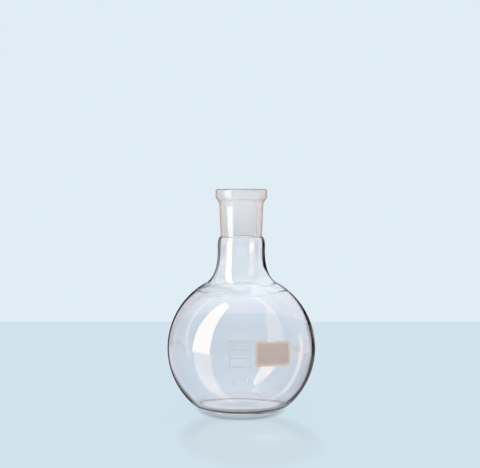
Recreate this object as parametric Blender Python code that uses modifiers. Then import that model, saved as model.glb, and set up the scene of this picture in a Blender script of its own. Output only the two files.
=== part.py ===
"""A 500 ml flat-bottomed laboratory flask with a ground 29/32 joint, in borosilicate glass.

The flask stands on the XY plane with its axis on +Z, and its prints face -Y. It is built as the glassblower
builds it: a blown body (bulb, neck and flat base in one wall), a ground socket fused on top of the neck, and
the ceramic ink prints fired on the outside of the bulb, each one a thin skin bent to the bulb's sphere.
"""

import math

import bmesh
import bpy
from mathutils import Matrix, Vector

MM = 0.001

# Driving dimensions, in metres. A 500 ml bulb is 105 mm across; the joint is the standard 29/32 taper.
BULB_RADIUS = 52.5 * MM
BULB_CENTRE_HEIGHT = 44.4 * MM
TOTAL_HEIGHT = 157.0 * MM
JOINT_MOUTH_RADIUS = 14.6 * MM
JOINT_TAPER = 1 / 20  # change of radius along the axis: a 1:10 taper on the diameter
GROUND_LENGTH = 33.5 * MM
CONTACT_GAP = 0.3 * MM  # between two solids that touch on the real flask

# Blown body: walls, base and neck.
BULB_INNER_RADIUS = 50.9 * MM
BULB_INNER_CENTRE_HEIGHT = 44.9 * MM
HEEL_RADIUS = 5.5 * MM
HEEL_INNER_RADIUS = 12.0 * MM
BASE_THICKNESS = 4.2 * MM
PUNT_RADIUS = 22.0 * MM  # the middle of the base is pushed up inside this radius
PUNT_HEIGHT = 0.8 * MM
NECK_RADIUS = 16.7 * MM
NECK_WALL = 1.9 * MM
NECK_TOP = 117.6 * MM  # where the shoulder under the joint begins
NECK_BOTTOM = 113.0 * MM  # where the neck begins to flare into the bulb
NECK_FLARE_PULL = 12.0 * MM  # how strongly the flare leaves the neck straight down
BULB_FLARE_PULL = 6.2 * MM  # and how strongly it meets the bulb's curve
FLARE_POLAR_ANGLE = 29.0  # degrees off the axis, where the flare meets the bulb
FLARE_INNER_POLAR_ANGLE = 28.4

# Ground socket with its beaded rim.
WELD_HEIGHT = TOTAL_HEIGHT - GROUND_LENGTH
WELD_RADIUS = 14.55 * MM
CONE_TOP_HEIGHT = 144.5 * MM
CONE_TOP_RADIUS = 15.45 * MM
RIM_RADIUS = 18.15 * MM
RIM_UNDERSIDE_HEIGHT = 152.0 * MM
RIM_ROUNDING = 1.25 * MM
MOUTH_ROUNDING = 0.9 * MM

# Prints: places are angles on the bulb, in degrees, with azimuth 0 at the front and positive to +X.
PRINT_THICKNESS = 0.2 * MM
PATCH_AZIMUTH = 24.1
PATCH_ELEVATION = 5.7
PATCH_TURN = -2.5  # the patch is fired on a little askew
PATCH_SIZE = (25.6 * MM, 16.4 * MM)
PATCH_CORNER = 2.2 * MM
PANEL_AZIMUTH = -1.0
PANEL_ELEVATION = 6.2
PANEL_SIZE = (14.6 * MM, 17.7 * MM)
PANEL_LINE = 0.8 * MM
PANEL_ROWS = 3
DIGITS_AZIMUTH = 44.6
DIGITS_ELEVATION = 6.6
DIGIT_HEIGHT = 3.9 * MM
DIGIT_PITCH = 2.9 * MM
TICK_AZIMUTH = 58.0
TICK_ELEVATION = 0.6
TICK_SIZE = (8.6 * MM, 0.6 * MM)
PRINT_CELL = 2.0 * MM  # prints are sliced into cells this wide so that they can bend

# Facets.
AROUND = 52
BULB_STEPS = 15
FLARE_STEPS = 6
SHOULDER_STEPS = 4
HEEL_STEPS = 4
ROUNDING_STEPS = 3
CORNER_STEPS = 4
MERGE_DISTANCE = 0.001 * MM  # for points that are the same point


def clear_scene():
    for obj in list(bpy.data.objects):
        bpy.data.objects.remove(obj, do_unlink=True)


def principled(name, colour, roughness, transmission):
    """A material with no metal in it: every part of the flask is glass or fired ceramic ink."""
    material = bpy.data.materials.new(name)
    material.use_nodes = True
    shader = material.node_tree.nodes["Principled BSDF"]
    shader.inputs["Base Color"].default_value = (*colour, 1)
    shader.inputs["Metallic"].default_value = 0
    shader.inputs["Roughness"].default_value = roughness
    shader.inputs["Transmission Weight"].default_value = transmission
    return material


def arc(centre, radii, start, end, steps):
    """Points of an ellipse's arc in the (radius, height) half-plane, both ends included. Angles are degrees."""
    points = []
    for i in range(steps + 1):
        angle = math.radians(start + (end - start) * i / steps)
        points.append((centre[0] + radii[0] * math.cos(angle), centre[1] + radii[1] * math.sin(angle)))
    return points


def bezier(start, start_handle, end_handle, end, steps):
    """Points of a cubic Bezier curve, both ends included."""
    points = []
    for i in range(steps + 1):
        t = i / steps
        weights = ((1 - t) ** 3, 3 * t * (1 - t) ** 2, 3 * t * t * (1 - t), t**3)
        controls = (start, start_handle, end_handle, end)
        radius = sum(weight * control[0] for weight, control in zip(weights, controls))
        height = sum(weight * control[1] for weight, control in zip(weights, controls))
        points.append((radius, height))
    return points


def shoulder(neck_radius, weld_radius):
    """From the weld down to the neck: a quarter ellipse that bulges out."""
    radii = (neck_radius - weld_radius, WELD_HEIGHT - CONTACT_GAP - NECK_TOP)
    return arc((weld_radius, NECK_TOP), radii, 90, 0, SHOULDER_STEPS)


def flare(neck_radius, sphere_radius, sphere_height, polar_angle):
    """From the straight neck down to the bulb, tangent to both."""
    polar = math.radians(polar_angle)
    meeting = (sphere_radius * math.sin(polar), sphere_height + sphere_radius * math.cos(polar))
    start = (neck_radius, NECK_BOTTOM)
    start_handle = (neck_radius, NECK_BOTTOM - NECK_FLARE_PULL)
    pull = (-BULB_FLARE_PULL * math.cos(polar), BULB_FLARE_PULL * math.sin(polar))
    end_handle = (meeting[0] + pull[0], meeting[1] + pull[1])
    return bezier(start, start_handle, end_handle, meeting, FLARE_STEPS)


def bulb_and_heel(sphere_radius, sphere_height, polar_angle, heel_radius, floor_height):
    """From the flare round the bulb and its heel to the rim of the flat floor."""
    heel_height = floor_height + heel_radius
    reach = sphere_radius - heel_radius
    heel_centre = math.sqrt(reach**2 - (sphere_height - heel_height) ** 2)
    tangent = math.degrees(math.atan2(heel_height - sphere_height, heel_centre))
    centre = (0, sphere_height)
    bulb = arc(centre, (sphere_radius, sphere_radius), 90 - polar_angle, tangent, BULB_STEPS)
    heel = arc((heel_centre, heel_height), (heel_radius, heel_radius), tangent, -90, HEEL_STEPS)
    return bulb + heel[1:]


def body_profile():
    """The body's wall as one line: up the inside from the middle of the floor, over the weld, down the outside."""
    outside = shoulder(NECK_RADIUS, WELD_RADIUS)
    outside += flare(NECK_RADIUS, BULB_RADIUS, BULB_CENTRE_HEIGHT, FLARE_POLAR_ANGLE)
    outside += bulb_and_heel(BULB_RADIUS, BULB_CENTRE_HEIGHT, FLARE_POLAR_ANGLE, HEEL_RADIUS, 0)[1:]
    outside += [(PUNT_RADIUS, 0), (PUNT_RADIUS / 2, PUNT_HEIGHT * 0.8), (0, PUNT_HEIGHT)]

    neck_inside = NECK_RADIUS - NECK_WALL
    bore_at_weld = JOINT_MOUTH_RADIUS - JOINT_TAPER * GROUND_LENGTH
    inner_sphere = (BULB_INNER_RADIUS, BULB_INNER_CENTRE_HEIGHT)
    inside = shoulder(neck_inside, bore_at_weld)
    inside += flare(neck_inside, *inner_sphere, FLARE_INNER_POLAR_ANGLE)
    inside += bulb_and_heel(*inner_sphere, FLARE_INNER_POLAR_ANGLE, HEEL_INNER_RADIUS, BASE_THICKNESS)[1:]
    inside += [(PUNT_RADIUS / 2, BASE_THICKNESS + PUNT_HEIGHT * 0.5), (0, BASE_THICKNESS + PUNT_HEIGHT * 0.6)]
    return inside[::-1] + outside


def socket_profile():
    """The socket's section as a closed line: up the tapered bore, over the rim and down the outside."""
    bore_at_weld = JOINT_MOUTH_RADIUS - JOINT_TAPER * GROUND_LENGTH
    mouth_centre = (JOINT_MOUTH_RADIUS + MOUTH_ROUNDING, TOTAL_HEIGHT - MOUTH_ROUNDING)
    rim_centre = (RIM_RADIUS - RIM_ROUNDING, TOTAL_HEIGHT - RIM_ROUNDING)
    profile = [(bore_at_weld, WELD_HEIGHT)]
    profile += arc(mouth_centre, (MOUTH_ROUNDING, MOUTH_ROUNDING), 180, 90, ROUNDING_STEPS)
    profile += arc(rim_centre, (RIM_ROUNDING, RIM_ROUNDING), 90, 0, ROUNDING_STEPS)
    profile += bezier(
        (RIM_RADIUS, RIM_UNDERSIDE_HEIGHT),
        (RIM_RADIUS, RIM_UNDERSIDE_HEIGHT - 2.6 * MM),
        (CONE_TOP_RADIUS, CONE_TOP_HEIGHT + 5.3 * MM),
        (CONE_TOP_RADIUS, CONE_TOP_HEIGHT),
        FLARE_STEPS,
    )
    profile += [(WELD_RADIUS, WELD_HEIGHT)]
    return profile


def turned(name, profile, closed, material, collection):
    """A solid of revolution: a line of points in the XZ plane with a Screw modifier about Z."""
    mesh = bpy.data.meshes.new(name)
    vertices = [(radius, 0, height) for radius, height in profile]
    edges = [(i, i + 1) for i in range(len(vertices) - 1)]
    if closed:
        edges.append((len(vertices) - 1, 0))
    mesh.from_pydata(vertices, edges, [])
    mesh.materials.append(material)
    obj = bpy.data.objects.new(name, mesh)
    collection.objects.link(obj)
    screw = obj.modifiers.new("Turn", "SCREW")
    screw.steps = AROUND
    screw.render_steps = AROUND
    screw.use_merge_vertices = True
    screw.merge_threshold = MERGE_DISTANCE
    screw.use_smooth_shade = True
    return obj


def rounded_rectangle(width, height, corner, centre=(0, 0)):
    """The outline of a rectangle with rounded corners, anticlockwise."""
    points = []
    for quarter, (side_x, side_y) in enumerate(((1, 1), (-1, 1), (-1, -1), (1, -1))):
        middle = (
            centre[0] + side_x * (width / 2 - corner),
            centre[1] + side_y * (height / 2 - corner),
        )
        points += arc(middle, (corner, corner), 90 * quarter, 90 * quarter + 90, CORNER_STEPS)
    return points


def flat_outline(name, outlines):
    """A filled 2D curve. An outline inside another is a hole."""
    curve = bpy.data.curves.new(name, "CURVE")
    curve.dimensions = "2D"
    curve.fill_mode = "BOTH"
    for outline in outlines:
        spline = curve.splines.new("POLY")
        spline.points.add(len(outline) - 1)
        for point, (x, y) in zip(spline.points, outline):
            point.co = (x, y, 0, 1)
        spline.use_cyclic_u = True
    return curve


def flat_digit(name, digit):
    """One figure in Blender's own plain typeface, centred on the origin."""
    curve = bpy.data.curves.new(name, "FONT")
    curve.body = digit
    curve.size = DIGIT_HEIGHT / 0.7  # a capital is 0.7 of the type size
    curve.align_x = "CENTER"
    curve.align_y = "CENTER"
    curve.resolution_u = 4
    return curve


def mesh_of_curve(curve, collection):
    """The curve's filled face as a bmesh, with the curve removed."""
    drawn = bpy.data.objects.new(curve.name + "_outline", curve)
    collection.objects.link(drawn)
    bpy.context.view_layer.update()
    graph = bpy.context.evaluated_depsgraph_get()
    filled = bpy.data.meshes.new_from_object(drawn.evaluated_get(graph))
    bpy.data.objects.remove(drawn)
    sheet = bmesh.new()
    sheet.from_mesh(filled)
    bpy.data.meshes.remove(filled)
    bmesh.ops.remove_doubles(sheet, verts=sheet.verts, dist=MERGE_DISTANCE)
    return sheet


def slice_into_cells(sheet):
    """Adds the cross lines along which the flat print can bend both ways."""
    for axis in (0, 1):
        reach = max(abs(vertex.co[axis]) for vertex in sheet.verts)
        count = math.ceil(reach / PRINT_CELL)
        normal = Vector((1, 0, 0)) if axis == 0 else Vector((0, 1, 0))
        for line in range(-count, count + 1):
            geometry = sheet.verts[:] + sheet.edges[:] + sheet.faces[:]
            place = normal * (line * PRINT_CELL)
            bmesh.ops.bisect_plane(sheet, geom=geometry, dist=MERGE_DISTANCE, plane_co=place, plane_no=normal)


def wrap_on_sphere(sheet, radius):
    """Bends the flat print round a sphere about the origin, so that its middle lies at -Y."""
    for vertex in sheet.verts:
        turn = vertex.co.x / radius
        rise = vertex.co.y / radius
        outwards = Vector((math.sin(turn) * math.cos(rise), -math.cos(turn) * math.cos(rise), math.sin(rise)))
        vertex.co = radius * outwards
    bmesh.ops.triangulate(sheet, faces=sheet.faces)


def fired_print(name, curve, azimuth, elevation, turn, material, collection):
    """A thin skin of ink on the bulb, placed by turning it about the bulb's centre."""
    sheet = mesh_of_curve(curve, collection)
    bmesh.ops.rotate(sheet, verts=sheet.verts, matrix=Matrix.Rotation(math.radians(turn), 3, "Z"))
    slice_into_cells(sheet)
    wrap_on_sphere(sheet, BULB_RADIUS + CONTACT_GAP)
    mesh = bpy.data.meshes.new(name)
    sheet.to_mesh(mesh)
    sheet.free()
    mesh.materials.append(material)
    mesh.shade_smooth()
    obj = bpy.data.objects.new(name, mesh)
    collection.objects.link(obj)
    obj.location = (0, 0, BULB_CENTRE_HEIGHT)
    obj.rotation_euler = (-math.radians(elevation), 0, math.radians(azimuth))
    thickness = obj.modifiers.new("Ink thickness", "SOLIDIFY")
    thickness.thickness = PRINT_THICKNESS
    thickness.offset = 1
    return obj


def panel_outlines():
    """A blank form: a frame with cross rules, whose rows are holes in the ink."""
    width, height = PANEL_SIZE
    corner = PANEL_LINE
    row_height = (height - (PANEL_ROWS + 1) * PANEL_LINE) / PANEL_ROWS
    outlines = [rounded_rectangle(width, height, corner)]
    for row in range(PANEL_ROWS):
        centre_y = -height / 2 + PANEL_LINE + row_height / 2 + row * (row_height + PANEL_LINE)
        outlines.append(rounded_rectangle(width - 2 * PANEL_LINE, row_height, corner / 2, (0, centre_y)))
    return outlines


def build():
    clear_scene()
    flask = bpy.data.collections.new("flat_bottom_flask")
    bpy.context.scene.collection.children.link(flask)
    origin = bpy.data.objects.new("flask_axis", None)
    flask.objects.link(origin)

    clear_glass = principled("clear_glass", (0.93, 0.95, 0.97), 0.02, 1.0)
    ground_glass = principled("ground_glass", (0.88, 0.87, 0.87), 0.55, 0.8)
    ceramic_ink = principled("ceramic_ink", (0.74, 0.68, 0.65), 0.6, 0.0)

    pieces = [
        turned("flask_body", body_profile(), False, clear_glass, flask),
        turned("ground_joint_socket", socket_profile(), True, ground_glass, flask),
    ]

    patch = flat_outline("writing_patch", [rounded_rectangle(*PATCH_SIZE, PATCH_CORNER)])
    panel = flat_outline("print_panel", panel_outlines())
    tick = flat_outline("capacity_tick", [rounded_rectangle(*TICK_SIZE, TICK_SIZE[1] / 3)])
    prints = [
        (patch, PATCH_AZIMUTH, PATCH_ELEVATION, PATCH_TURN),
        (panel, PANEL_AZIMUTH, PANEL_ELEVATION, 0),
        (tick, TICK_AZIMUTH, TICK_ELEVATION, 0),
    ]
    for place, (name, digit) in enumerate((("hundreds", "5"), ("tens", "0"), ("units", "0"))):
        offset = math.degrees((place - 1) * DIGIT_PITCH / BULB_RADIUS)
        prints.append((flat_digit("capacity_digit_" + name, digit), DIGITS_AZIMUTH + offset, DIGITS_ELEVATION, 0))
    for curve, azimuth, elevation, turn in prints:
        pieces.append(fired_print(curve.name, curve, azimuth, elevation, turn, ceramic_ink, flask))

    for piece in pieces:
        piece.parent = origin
        piece.matrix_parent_inverse = Matrix.Identity(4)


build()
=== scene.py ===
"""The looks of a 500 ml flat-bottomed flask: blown glass, a ground joint and fired prints, in a studio."""

import math

import bmesh
import bpy
from mathutils import Matrix, Vector


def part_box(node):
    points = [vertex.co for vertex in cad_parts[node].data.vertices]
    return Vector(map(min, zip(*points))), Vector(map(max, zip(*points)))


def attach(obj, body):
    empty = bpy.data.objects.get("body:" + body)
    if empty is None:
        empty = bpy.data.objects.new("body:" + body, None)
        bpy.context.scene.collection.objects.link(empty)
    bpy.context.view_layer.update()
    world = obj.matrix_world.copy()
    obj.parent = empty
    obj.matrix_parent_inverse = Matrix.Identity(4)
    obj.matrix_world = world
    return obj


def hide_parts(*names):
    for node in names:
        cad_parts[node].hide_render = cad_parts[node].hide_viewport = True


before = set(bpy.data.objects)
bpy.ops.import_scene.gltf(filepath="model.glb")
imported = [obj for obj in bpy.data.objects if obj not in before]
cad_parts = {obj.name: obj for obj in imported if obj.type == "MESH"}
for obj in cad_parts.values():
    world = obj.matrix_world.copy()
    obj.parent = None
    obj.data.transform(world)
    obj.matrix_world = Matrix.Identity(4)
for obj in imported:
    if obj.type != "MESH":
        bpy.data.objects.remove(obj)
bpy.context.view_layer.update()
MM = 0.001

# ---- sizes, from the frame
BODY_LOW, BODY_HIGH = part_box("flask_body")
SOCKET_LOW, SOCKET_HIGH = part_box("ground_joint_socket")
BULB_RADIUS = (BODY_HIGH.x - BODY_LOW.x) / 2
RIM_RADIUS = (SOCKET_HIGH.x - SOCKET_LOW.x) / 2
TOTAL_HEIGHT = SOCKET_HIGH.z
WELD_HEIGHT = SOCKET_LOW.z

# Blown body
BULB_CENTRE_HEIGHT = 44.4 * MM
WALL = 1.7 * MM
HOLLOW_RISE = 0.3 * WALL  # how far the hollow's centre lies above the bulb's, so the glass is thicker below
HEEL_RADIUS = 5.5 * MM
HEEL_INNER_RADIUS = 12.0 * MM
BASE_THICKNESS = 4.2 * MM
PUNT_RADIUS = 22.0 * MM
PUNT_HEIGHT = 0.8 * MM
PUNT_HANDLES = (0.8, 0.5)  # of the punt's curve, as parts of its radius
FLOOR_RISE = 0.6 * PUNT_HEIGHT  # the floor inside rises this far over the punt
FLOOR_HANDLES = (0.6, 0.4)
UNDERSIDE_TOP = 0.85 * MM  # the outside is scuffed below this height
NECK_RADIUS = 16.7 * MM
NECK_WALL = 1.9 * MM
NECK_TOP = 117.6 * MM
NECK_BOTTOM = 113.0 * MM
NECK_FLARE_PULL = 12.0 * MM
BULB_FLARE_PULL = 6.2 * MM
FLARE_POLAR_ANGLE = 29.0
FLARE_INNER_POLAR_ANGLE = 28.4
DRAWN_MIDDLE = 96.0 * MM  # where the glass is drawn thin, and looks clearest
DRAWN_REACH = (7.0 * MM, 16.0 * MM)
DARKER_BELOW = (8.0 * MM, 38.0 * MM)  # the glass looks a little darker downwards between these heights

# The hollow is off centre by this much, between these heights
UNEVEN_WALL = 0.30 * MM
UNEVEN_LOW = (12.0 * MM, 34.0 * MM)
UNEVEN_HIGH = (98.0 * MM, 119.0 * MM)

# Tooling ripples round the shoulder
RIPPLE_ZONE = (33.0, 42.0)  # degrees from the bulb's top
RIPPLE_STEP = 0.2 * MM
RIPPLES = (  # degrees from the top, depth, half-width in degrees
    (35.3, 0.12 * MM, 0.35),
    (37.0, 0.32 * MM, 0.40),
    (38.9, 0.14 * MM, 0.40),
)
RIPPLE_WANDER = ((0.5, 3, 1), (0.3, 7, 2))  # degrees, waves round the bulb, phase from ripple to ripple
RIPPLE_UNEVENNESS = (0.35, 5, 3)  # likewise, as a part of the depth

# Ground socket
JOINT_MOUTH_RADIUS = 14.6 * MM
JOINT_TAPER = 1 / 20
WELD_RADIUS = 14.55 * MM
CLEAR_BELOW_GROUND = 2.0 * MM
CONE_TOP_HEIGHT = 144.5 * MM
CONE_TOP_RADIUS = 15.45 * MM
RIM_UNDERSIDE_HEIGHT = 152.0 * MM
FILLET_PULLS = (2.6 * MM, 5.3 * MM)  # how strongly the curve under the bead leaves the bead and the cone
RIM_ROUNDING = 1.25 * MM
# Painted shade: a dark line in the hollow under the collar, and one along the rim's top edge
COLLAR_SHADE_HEIGHT = 150.0 * MM
COLLAR_SHADE_WIDTH = 0.9 * MM
COLLAR_SHADE_STRENGTH = 0.5
RIM_SHADE_DEPTH = 0.7 * MM
MOUTH_ROUNDING = 0.9 * MM

# Prints
INK_THICKNESS = 0.08 * MM
INK_LIFT = 0.03 * MM
BORDER_THICKNESS = 1.6 * INK_THICKNESS
PATCH_AZIMUTH = 24.1
PATCH_ELEVATION = 5.7
PATCH_SIZE = (25.6 * MM, 16.4 * MM)
PATCH_TURN = -2.5
PATCH_CORNER = 2.2 * MM
PATCH_BORDER = 1.7 * MM
FIELD_CORNER = 0.6 * PATCH_CORNER
PANEL_AZIMUTH = -1.0
PANEL_ELEVATION = 6.2
PANEL_SIZE = (14.6 * MM, 17.7 * MM)
PANEL_LINE = 0.8 * MM
PANEL_ROWS = 3
DIGITS_AZIMUTH = 44.6
DIGITS_ELEVATION = 6.6
DIGIT_HEIGHT = 3.9 * MM
DIGIT_SHARE = 0.7  # the height of a figure as a part of the typeface's size
DIGIT_PITCH = 2.9 * MM
TICK_AZIMUTH = 58.0
TICK_ELEVATION = 0.6
TICK_SIZE = (8.6 * MM, 0.6 * MM)
PRINT_CELL = 0.6 * MM

# Facets
AROUND = 192
CURVE_STEP = 0.9 * MM
CORNER_STEPS = 8
MERGE_DISTANCE = 0.0005 * MM

# ---- colours
WHITE = (1, 1, 1, 1)
BLACK = (0, 0, 0, 1)
GLASS_IOR = 1.473
NOISE_SPAN = (0.3, 0.7)  # nearly all the values of a noise lie between these
WAVE_DEPTH = 0.04 * MM
GRAIN_DEPTH = 0.02 * MM
SPECKLE_DEPTH = 0.03 * MM
INK_UNEVENNESS = 0.06  # how far the cover of the ink varies either way
# Painted shade: the dark lines where the bulb turns into the base, put into the glass's colour for the camera
# only, by height
CREASE_SHADE_RANGE = 12.0 * MM
CREASE_SHADE = (
    (0.9 * MM, (0.45, 0.48, 0.50)),
    (1.7 * MM, (0.60, 0.64, 0.66)),
    (2.4 * MM, (1.0, 1.0, 1.0)),
    (5.9 * MM, (1.0, 1.0, 1.0)),
    (6.2 * MM, (0.05, 0.03, 0.02)),
    (7.8 * MM, (0.01, 0.006, 0.006)),
    (8.1 * MM, (0.52, 0.53, 0.56)),
    (9.0 * MM, (0.60, 0.63, 0.66)),
    (10.0 * MM, (0.74, 0.77, 0.80)),
    (10.8 * MM, (1.0, 1.0, 1.0)),
)
# Painted reflection, as glow: the bench's image in the thick base, an ellipse of light with a dark line round
# it, from its middle outwards
UNDERSIDE_PAINTED_GLOW_SHARE = 0.75  # the share of the underside's look that is painted glow standing in for the bench, and not light through the base
UNDERSIDE_IMAGE_CENTRE = (0.0, -0.0035)
UNDERSIDE_IMAGE_RADII = (0.0300, 0.0120)
UNDERSIDE_FROM_ABOVE = (0.80, 0.90)  # the image fades as the view in the glass rises between these sines
UNDERSIDE_OUTLINE_SHADE = (0.45, 0.48, 0.49, 1)  # painted shade for the foot's rim, which the camera sees from outside
UNDERSIDE_SIDE_SHADE = (0.68, 0.71, 0.71, 1)  # painted shade: dimmer through the heel, by way of the glass's inner faces
UNDERSIDE_IMAGE_RANGE = 2.0
UNDERSIDE_IMAGE = (
    (0.35, (0.88, 0.90, 0.93)),
    (0.60, (1.10, 1.12, 1.10)),
    (0.88, (1.10, 1.12, 1.10)),
    (1.02, (0.52, 0.46, 0.47)),
    (1.20, (0.52, 0.46, 0.47)),
    (1.34, (0.98, 0.98, 1.00)),
)
GROUND_SCATTER = 0.60
SOCKET_SHADOW = (0.8, 0.8, 0.8, 1)
SOCKET_SHADE_LINE = (0.42, 0.38, 0.37, 1)  # painted shade, under the collar and along the rim's top edge
# Painted edge colour for the socket's outside, standing in for what the curved glass reflects and refracts;
# darkest on the rim's top
SOCKET_RIM_EDGE_SHADE = (0.30, 0.27, 0.27, 1)
SOCKET_EDGE_TINT_WITHIN = (0.86, 0.80, 0.80, 1)  # for light that has already been inside the glass
SOCKET_EDGE_TINT_FACING = (0.25, 0.52)  # the painted edge colour thickens between these, from and to the shares below
SOCKET_EDGE_TINT_SHARE = (0.04, 0.85)
SOCKET_EDGE_TINT = (  # by how far the surface turns away from the eye: 0 faces it, 1 is edge on
    (0.30, (0.84, 0.77, 0.74)),
    (0.46, (0.89, 0.74, 0.67)),
    (0.58, (0.87, 0.67, 0.60)),
    (0.68, (0.66, 0.51, 0.49)),
    (0.82, (0.47, 0.37, 0.37)),
)
BACKDROP_COLOUR = (224, 237, 245)
FLOOR_COLOUR = (209, 227, 237)


def linear(colour):
    """Screen values out of 255 as the linear light that Blender works in."""
    shares = [value / 255 for value in colour]
    return (*(s / 12.92 if s <= 0.04045 else ((s + 0.055) / 1.055) ** 2.4 for s in shares), 1)


# ---- profiles
def arc(centre, radii, start, end, step_length=CURVE_STEP):
    """Points of an ellipse's arc in the (radius, height) half-plane. Angles are degrees."""
    length = math.radians(abs(end - start)) * max(radii)
    steps = max(6, math.ceil(length / step_length))
    angles = [math.radians(start + (end - start) * i / steps) for i in range(steps + 1)]
    return [(centre[0] + radii[0] * math.cos(a), centre[1] + radii[1] * math.sin(a)) for a in angles]


def bezier(start, start_handle, end_handle, end):
    """Points of a cubic Bezier curve, both ends included."""
    steps = max(8, math.ceil(math.dist(start, end) / CURVE_STEP))
    axes = list(zip(start, start_handle, end_handle, end))
    points = []
    for i in range(steps + 1):
        t = i / steps
        weights = ((1 - t) ** 3, 3 * t * (1 - t) ** 2, 3 * t * t * (1 - t), t**3)
        points.append(tuple(sum(weight * value for weight, value in zip(weights, axis)) for axis in axes))
    return points


def straight(start, end):
    """Points of a straight line, both ends included."""
    steps = max(1, math.ceil(math.dist(start, end) / CURVE_STEP))
    shares = [i / steps for i in range(steps + 1)]
    return [(start[0] + (end[0] - start[0]) * t, start[1] + (end[1] - start[1]) * t) for t in shares]


def joined(*stretches):
    """One line from several that follow on, with the shared points kept once."""
    line = []
    for stretch in stretches:
        for point in stretch:
            if not line or math.dist(line[-1], point) > MERGE_DISTANCE:
                line.append(point)
    return line


def shoulder(neck_radius, weld_radius):
    radii = (neck_radius - weld_radius, WELD_HEIGHT - NECK_TOP)
    return arc((weld_radius, NECK_TOP), radii, 90, 0)


def flare(neck_radius, sphere_radius, sphere_height, polar_angle):
    polar = math.radians(polar_angle)
    meeting = (sphere_radius * math.sin(polar), sphere_height + sphere_radius * math.cos(polar))
    start = (neck_radius, NECK_BOTTOM)
    start_handle = (neck_radius, NECK_BOTTOM - NECK_FLARE_PULL)
    pull = (-BULB_FLARE_PULL * math.cos(polar), BULB_FLARE_PULL * math.sin(polar))
    end_handle = (meeting[0] + pull[0], meeting[1] + pull[1])
    return bezier(start, start_handle, end_handle, meeting)


def bulb_and_heel(sphere_radius, sphere_height, polar_angle, heel_radius, floor_height):
    heel_height = floor_height + heel_radius
    reach = sphere_radius - heel_radius
    heel_centre = math.sqrt(reach**2 - (sphere_height - heel_height) ** 2)
    tangent = math.degrees(math.atan2(heel_height - sphere_height, heel_centre))
    centre = (0, sphere_height)
    radii = (sphere_radius, sphere_radius)
    return joined(
        arc(centre, radii, 90 - polar_angle, 90 - RIPPLE_ZONE[0]),
        arc(centre, radii, 90 - RIPPLE_ZONE[0], 90 - RIPPLE_ZONE[1], RIPPLE_STEP),
        arc(centre, radii, 90 - RIPPLE_ZONE[1], tangent),
        arc((heel_centre, heel_height), (heel_radius, heel_radius), tangent, -90),
    )


def body_outside():
    """From the weld down to the middle of the base."""
    bulb = bulb_and_heel(BULB_RADIUS, BULB_CENTRE_HEIGHT, FLARE_POLAR_ANGLE, HEEL_RADIUS, 0)
    rim_handle, top_handle = PUNT_HANDLES
    top = (0, PUNT_HEIGHT)
    return joined(
        shoulder(NECK_RADIUS, WELD_RADIUS),
        straight((NECK_RADIUS, NECK_TOP), (NECK_RADIUS, NECK_BOTTOM)),
        flare(NECK_RADIUS, BULB_RADIUS, BULB_CENTRE_HEIGHT, FLARE_POLAR_ANGLE),
        bulb,
        straight(bulb[-1], (PUNT_RADIUS, 0)),
        bezier((PUNT_RADIUS, 0), (PUNT_RADIUS * rim_handle, 0), (PUNT_RADIUS * top_handle, PUNT_HEIGHT), top),
    )


def body_inside():
    """From the weld down to the middle of the floor."""
    neck_inside = NECK_RADIUS - NECK_WALL
    inner_sphere = (BULB_RADIUS - WALL, BULB_CENTRE_HEIGHT + HOLLOW_RISE)
    bulb = bulb_and_heel(*inner_sphere, FLARE_INNER_POLAR_ANGLE, HEEL_INNER_RADIUS, BASE_THICKNESS)
    floor_edge = bulb[-1]
    edge_handle = (floor_edge[0] * FLOOR_HANDLES[0], BASE_THICKNESS)
    floor_middle = (0, BASE_THICKNESS + FLOOR_RISE)
    middle_handle = (floor_edge[0] * FLOOR_HANDLES[1], floor_middle[1])
    return joined(
        shoulder(neck_inside, bore_radius(WELD_HEIGHT)),
        straight((neck_inside, NECK_TOP), (neck_inside, NECK_BOTTOM)),
        flare(neck_inside, *inner_sphere, FLARE_INNER_POLAR_ANGLE),
        bulb,
        bezier(floor_edge, edge_handle, middle_handle, floor_middle),
    )


def bore_radius(height):
    return JOINT_MOUTH_RADIUS - JOINT_TAPER * (TOTAL_HEIGHT - height)


def socket_bore():
    """From the mouth's rounding down the ground taper."""
    end = WELD_HEIGHT + CLEAR_BELOW_GROUND
    return straight((JOINT_MOUTH_RADIUS, TOTAL_HEIGHT - MOUTH_ROUNDING), (bore_radius(end), end))


def socket_foot():
    """From the ground taper down to the weld."""
    start = WELD_HEIGHT + CLEAR_BELOW_GROUND
    return straight((bore_radius(start), start), (bore_radius(WELD_HEIGHT), WELD_HEIGHT))


def socket_rim():
    """Over the rim: from the top of the bore to the outside of the bead."""
    mouth_centre = (JOINT_MOUTH_RADIUS + MOUTH_ROUNDING, TOTAL_HEIGHT - MOUTH_ROUNDING)
    bead_centre = (RIM_RADIUS - RIM_ROUNDING, TOTAL_HEIGHT - RIM_ROUNDING)
    return joined(
        arc(mouth_centre, (MOUTH_ROUNDING, MOUTH_ROUNDING), 180, 90),
        arc(bead_centre, (RIM_ROUNDING, RIM_ROUNDING), 90, 0),
    )


def socket_outside():
    """From the bead down the cone to the weld."""
    return joined(
        straight((RIM_RADIUS, TOTAL_HEIGHT - RIM_ROUNDING), (RIM_RADIUS, RIM_UNDERSIDE_HEIGHT)),
        bezier(
            (RIM_RADIUS, RIM_UNDERSIDE_HEIGHT),
            (RIM_RADIUS, RIM_UNDERSIDE_HEIGHT - FILLET_PULLS[0]),
            (CONE_TOP_RADIUS, CONE_TOP_HEIGHT + FILLET_PULLS[1]),
            (CONE_TOP_RADIUS, CONE_TOP_HEIGHT),
        ),
        straight((CONE_TOP_RADIUS, CONE_TOP_HEIGHT), (WELD_RADIUS, WELD_HEIGHT)),
    )


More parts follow.
